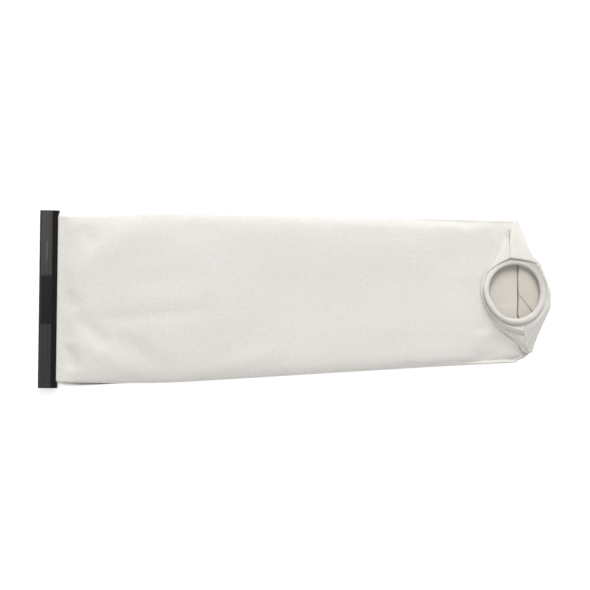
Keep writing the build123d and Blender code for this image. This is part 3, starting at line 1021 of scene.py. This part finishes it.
class Nodes:
    """Short calls for building a material's nodes."""

    def __init__(self, name):
        self.material = bpy.data.materials.new(name)
        self.material.use_nodes = True
        self.tree = self.material.node_tree
        self.shader = self.tree.nodes["Principled BSDF"]
        self.place = self.add("ShaderNodeTexCoord").outputs["Object"]

    def add(self, kind, **settings):
        """A new node with its settings."""
        node = self.tree.nodes.new(kind)
        for key, value in settings.items():
            setattr(node, key, value)
        return node

    def put(self, value, socket):
        if isinstance(value, bpy.types.NodeSocket):
            self.tree.links.new(value, socket)
        else:
            socket.default_value = value

    def fill(self, node, **inputs):
        """Set or link inputs by name, with _ for a space."""
        for key, value in inputs.items():
            self.put(value, node.inputs[key.replace("_", " ")])
        return node

    def math(self, operation, a, b=0.0):
        node = self.add("ShaderNodeMath", operation=operation)
        self.put(a, node.inputs[0])
        self.put(b, node.inputs[1])
        return node.outputs[0]

    def times(self, a, b):
        return self.math("MULTIPLY", a, b)

    def plus(self, a, b):
        return self.math("ADD", a, b)

    def minus(self, a, b):
        return self.math("SUBTRACT", a, b)

    def noise(self, scale, detail=3.0, stretch=(1, 1, 1)):
        mapping = self.fill(self.add("ShaderNodeMapping"), Scale=stretch, Vector=self.place)
        node = self.add("ShaderNodeTexNoise")
        self.fill(node, Scale=scale, Detail=detail, Roughness=0.5, Vector=mapping.outputs[0])
        return node.outputs["Fac"]

    def spread(self, value, low, high, to_low=0.0, to_high=1.0):
        node = self.add("ShaderNodeMapRange", clamp=True)
        self.fill(node, Value=value, From_Min=low, From_Max=high, To_Min=to_low, To_Max=to_high)
        return node.outputs["Result"]

    def mix(self, share, a, b):
        node = self.fill(self.add("ShaderNodeMix", data_type="RGBA"), Factor=share)
        self.put(a, node.inputs[6])
        self.put(b, node.inputs[7])
        return node.outputs[2]

    def bump(self, height, distance, strength=1.0, normal=None):
        node = self.add("ShaderNodeBump")
        self.fill(node, Distance=distance, Strength=strength, Height=height)
        if normal:
            self.put(normal, node.inputs["Normal"])
        return node.outputs["Normal"]

    def finish(self, base, roughness, normal):
        self.fill(self.shader, Base_Color=base, Roughness=roughness, Normal=normal)

    def axes(self):
        split = self.add("ShaderNodeSeparateXYZ")
        self.put(self.place, split.inputs[0])
        return split.outputs[0], split.outputs[1], split.outputs[2]


def weave_height(n, u, v, pitch):
    """Height of a plain weave over coordinates u and v in metres: over and under on a chequer."""
    wave = math.pi / pitch
    su, sv = (n.math("SINE", n.times(c, wave)) for c in (u, v))
    cu, cv = (n.math("COSINE", n.times(c, wave)) for c in (u, v))
    warp = n.times(n.math("ABSOLUTE", su), n.plus(n.times(cv, 0.5), 0.5))
    weft = n.times(n.math("ABSOLUTE", sv), n.minus(0.5, n.times(cu, 0.5)))
    return n.math("MAXIMUM", warp, weft)


def canvas_material(name, light, dark, round_collar=False):
    """Unbleached canvas: weave, uneven yarns, soft cloudy colour and small brown flecks.

    It has painted shade on the collar's far side and on the cloth down inside the inlet. That painted
    shade is placed by distance from the inlet's middle, so it is also on the outside of the back panel
    there.
    """
    yarn_pitch, yarn_wander, weave_depth = 0.00062, 0.0016, 0.00016
    n = Nodes(name)
    x, y, z = n.axes()
    dx = n.minus(x, float(RING[0] * MM))
    dy = n.minus(y, float(RING[1] * MM))
    turn = n.math("ARCTAN2", dy, dx)
    out = n.math("SQRT", n.plus(n.times(dx, dx), n.times(dy, dy)))
    if round_collar:
        # painted shade on the collar's far side, darkest round 66 degrees
        far_side = n.math("COSINE", n.minus(turn, math.radians(66)))
        painted_shade = n.spread(far_side, 0.2, 0.95)
        shade_tint = (0.74, 0.735, 0.72)
        u = n.times(turn, float(BEAD_R * MM))
        v = n.plus(z, n.times(out, 0.6))
    else:
        # painted shade on the cloth down inside the inlet, below the collar's top, full right of the
        # inlet's middle and weaker left of it
        inside = n.spread(out, 0.0262, 0.0280, 1.0, 0.0)
        below = n.spread(z, 0.0150, 0.0158, 1.0, 0.0)
        deeper = n.spread(dx, 0.002, 0.006, 0.72, 1.0)
        painted_shade = n.times(n.times(inside, below), deeper)
        shade_tint = (0.80, 0.768, 0.71)
        u = x
        v = n.plus(y, n.times(z, 0.7))
    # the yarns wander, so that the weave never lines up into a grid
    u = n.plus(u, n.times(n.noise(170, 2), yarn_wander))
    v = n.plus(v, n.times(n.noise(190, 2), yarn_wander))
    weave = weave_height(n, u, v, yarn_pitch)
    slub_u = n.noise(900, 2, (0.3, 1, 1))
    slub_v = n.noise(900, 2, (1, 0.3, 1))
    yarns = n.plus(n.times(slub_u, 0.5), n.times(slub_v, 0.5))
    cloud = n.noise(9, 3)
    mottle = n.noise(240, 3)
    tone = n.plus(n.times(cloud, 0.45), n.times(yarns, 0.25))
    tone = n.plus(tone, n.times(mottle, 0.30))
    base = n.mix(n.spread(tone, 0.36, 0.64), dark, light)
    fleck_field = n.noise(620, 1.0, (1, 0.55, 1))
    flecks = n.spread(fleck_field, 0.765, 0.80)
    pale = n.spread(n.noise(420, 1.0, (0.5, 1, 1)), 0.74, 0.80)
    # colour of the brown flecks, and of the painted shade between the yarns
    fleck_and_weave_shade = tuple(0.62 * c for c in dark[:3]) + (1.0,)
    bright = tuple(min(1.0, 1.06 * c) for c in light[:3]) + (1.0,)
    base = n.mix(n.times(flecks, 0.5), base, fleck_and_weave_shade)
    base = n.mix(n.times(pale, 0.5), base, bright)
    # painted shade in the weave's low places between the yarns
    base = n.mix(n.times(n.minus(1.0, weave), 0.16), base, fleck_and_weave_shade)
    middle = [(a + b) / 2 for a, b in zip(light, dark)]
    # the painted shade's colour: the middle tone times the shade tint
    shade_colour = tuple(c * t for c, t in zip(middle, shade_tint)) + (1.0,)
    base = n.mix(painted_shade, base, n.mix(n.spread(tone, 0.36, 0.64, 0.0, 0.25), shade_colour, base))
    rough = n.spread(yarns, 0.3, 0.7, 0.82, 0.95)
    soft = n.bump(n.noise(55, 4), 0.0009, 0.35)
    fine = n.bump(yarns, 0.0004, 0.5, soft)
    n.finish(base, rough, n.bump(weave, weave_depth, 0.8, fine))
    n.fill(n.shader, Specular_IOR_Level=0.25, Sheen_Weight=0.12, Sheen_Roughness=0.6)
    return n.material


def rail_material():
    """Black extruded plastic: lengthwise streaks, worn patches, a greyish face and painted shade on the
    bevels, the lips and the grip ribs.
    """
    n = Nodes("rail_plastic")
    x, y, z = n.axes()
    streaks = n.noise(1500, 3, (1, 0.012, 1))
    broad = n.noise(260, 2, (1, 0.03, 1))
    worn = n.noise(35, 4)
    streaks_and_broad = n.plus(n.times(streaks, 0.5), n.times(broad, 0.5))
    rubbed = n.spread(streaks_and_broad, 0.38, 0.68)
    base = n.mix(rubbed, (0.060, 0.053, 0.048, 1), (0.090, 0.080, 0.073, 1))
    base = n.mix(n.spread(worn, 0.55, 0.8, 0, 0.35), base, (0.12, 0.108, 0.10, 1))
    # one short scuff along the face
    scuff_x, scuff_y = -0.2483, 0.049
    beside_scuff = n.spread(n.math("ABSOLUTE", n.minus(x, scuff_x)), 0.0003, 0.0009, 1.0, 0.0)
    along_scuff = n.spread(n.math("ABSOLUTE", n.minus(y, scuff_y)), 0.007, 0.0105, 1.0, 0.0)
    base = n.mix(n.times(beside_scuff, along_scuff), base, (0.15, 0.125, 0.11, 1))
    # the bevels, the lips and the grip ribs are painted near black, as painted shade, while the broad
    # faces keep the grey plastic colour, which fades by half towards -y
    middle_z = float(SLOT_Z * MM)
    off_face = n.math("ABSOLUTE", n.minus(z, middle_z))
    face = n.spread(off_face, middle_z - 0.0009, middle_z - 0.0003)
    lip_start = float((rail_high[0] - 1) * MM) - 0.0047
    face = n.times(face, n.spread(x, lip_start - 0.0012, lip_start, 1.0, 0.0))
    grip = n.spread(n.math("ABSOLUTE", y), 0.0235, 0.025)
    lighter_upwards = n.spread(y, -0.03, 0.085, 0.5, 1.0)
    shown = n.times(face, n.times(n.spread(grip, 0, 1, 0.4, 1.0), lighter_upwards))
    # painted shade: near black off the broad faces, on the bevels, the lips and the grip ribs
    base = n.mix(shown, (0.009, 0.009, 0.009, 1), base)
    rough = n.spread(streaks, 0.3, 0.7, 0.34, 0.52)
    coarse = n.bump(n.noise(900, 2), 0.00004, 0.5)
    n.finish(base, rough, n.bump(streaks, 0.00006, 0.5, coarse))
    n.fill(n.shader, Specular_IOR_Level=0.14)
    return n.material


def plain_material(name, light, dark, roughness, scale, depth, stretch=(1, 1, 1)):
    """A quiet finish with mottled colour and a fine grain, for thread, strips and elastic."""
    n = Nodes(name)
    grain = n.noise(scale, 3, stretch)
    base = n.mix(n.spread(grain, 0.35, 0.65), dark, light)
    rough = n.spread(grain, 0.3, 0.7, roughness - 0.08, roughness + 0.05)
    n.finish(base, rough, n.bump(grain, depth, 0.6))
    return n.material


canvas = canvas_material("canvas", (0.826, 0.776, 0.719, 1), (0.753, 0.704, 0.644, 1))
# the collar's cloth is the same canvas with both tones about 5% darker, as painted shade on the collar
collar_canvas = canvas_material(
    "collar_canvas", (0.782, 0.735, 0.678, 1), (0.712, 0.665, 0.608, 1), round_collar=True
)
thread = plain_material("thread", (0.84, 0.83, 0.79, 1), (0.70, 0.69, 0.64, 1), 0.8, 2600, 0.0001)
strip_plastic = plain_material(
    "strip_plastic", (0.74, 0.73, 0.69, 1), (0.66, 0.65, 0.61, 1), 0.45, 300, 0.00003, (1, 0.05, 1)
)
elastic = plain_material("elastic", (0.62, 0.60, 0.55, 1), (0.50, 0.48, 0.44, 1), 0.7, 1600, 0.0001)
rail_plastic = rail_material()


def give(piece, material):
    piece.data.materials.clear()
    piece.data.materials.append(material)


cloth_pieces = [front_cloth, back_cloth, front_flap, back_flap, inner_fold, edge_roll]
cloth_pieces += [upper_welt, second_welt, lower_welt, front_hem, back_hem]
cloth_pieces += [upper_allowance, lower_allowance]
for pieces, material in (
    (cloth_pieces, canvas),
    (threads, thread),
    ([elastic_core], elastic),
    ([sleeve, bead], collar_canvas),
):
    for piece in pieces:
        give(piece, material)
for name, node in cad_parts.items():
    if name == "closure_rail":
        give(node, rail_plastic)
    elif "strip" in name:
        give(node, strip_plastic)

# ---------------------------------------------------------------- stage, light and camera

FLOOR_Z = -0.0002
LIGHT_COLOUR = (0.968, 1.0, 1.03)
bpy.ops.mesh.primitive_plane_add(size=6, location=(0, 0, FLOOR_Z))
floor = bpy.context.object
floor.name = "floor"
paper = Nodes("paper")
paper_grey = paper.mix(paper.noise(3, 2), (0.93, 0.93, 0.93, 1), (0.95, 0.95, 0.95, 1))
paper.fill(paper.shader, Base_Color=paper_grey, Roughness=0.9, Specular_IOR_Level=0.0)
paper.fill(paper.shader, Emission_Color=(1, 1, 1, 1), Emission_Strength=0.45)
give(floor, paper.material)

world = bpy.data.worlds.new("studio")
bpy.context.scene.world = world
world.use_nodes = True
background = world.node_tree.nodes["Background"]
background.inputs["Color"].default_value = (*LIGHT_COLOUR, 1)
background.inputs["Strength"].default_value = 0.55


def soft_light(name, place, size, power):
    """A square light aimed at the origin."""
    data = bpy.data.lights.new(name, "AREA")
    data.shape = "SQUARE"
    data.size = size
    data.energy = power
    data.color = LIGHT_COLOUR
    lamp = bpy.data.objects.new(name, data)
    bpy.context.scene.collection.objects.link(lamp)
    lamp.location = place
    lamp.rotation_euler = (-Vector(place)).to_track_quat("-Z", "Y").to_euler()


soft_light("key", (0.2, 2.7, 2.5), 2.0, 108)
soft_light("fill", (-0.9, -1.2, 1.3), 1.6, 3)

CAMERA_HEIGHT = 1.6
VIEW_WIDTH = 0.5915
SENSOR_WIDTH = 36
camera_data = bpy.data.cameras.new("camera")
camera_data.sensor_width = SENSOR_WIDTH
camera_data.lens = SENSOR_WIDTH * CAMERA_HEIGHT / VIEW_WIDTH
camera_data.clip_end = 20
camera = bpy.data.objects.new("camera", camera_data)
bpy.context.scene.collection.objects.link(camera)
camera.location = (0.0002, 0.00765, CAMERA_HEIGHT + 0.005)
camera.rotation_euler = (0, 0, math.radians(0.8))
bpy.context.scene.camera = camera
bpy.context.scene.view_settings.view_transform = "Standard"
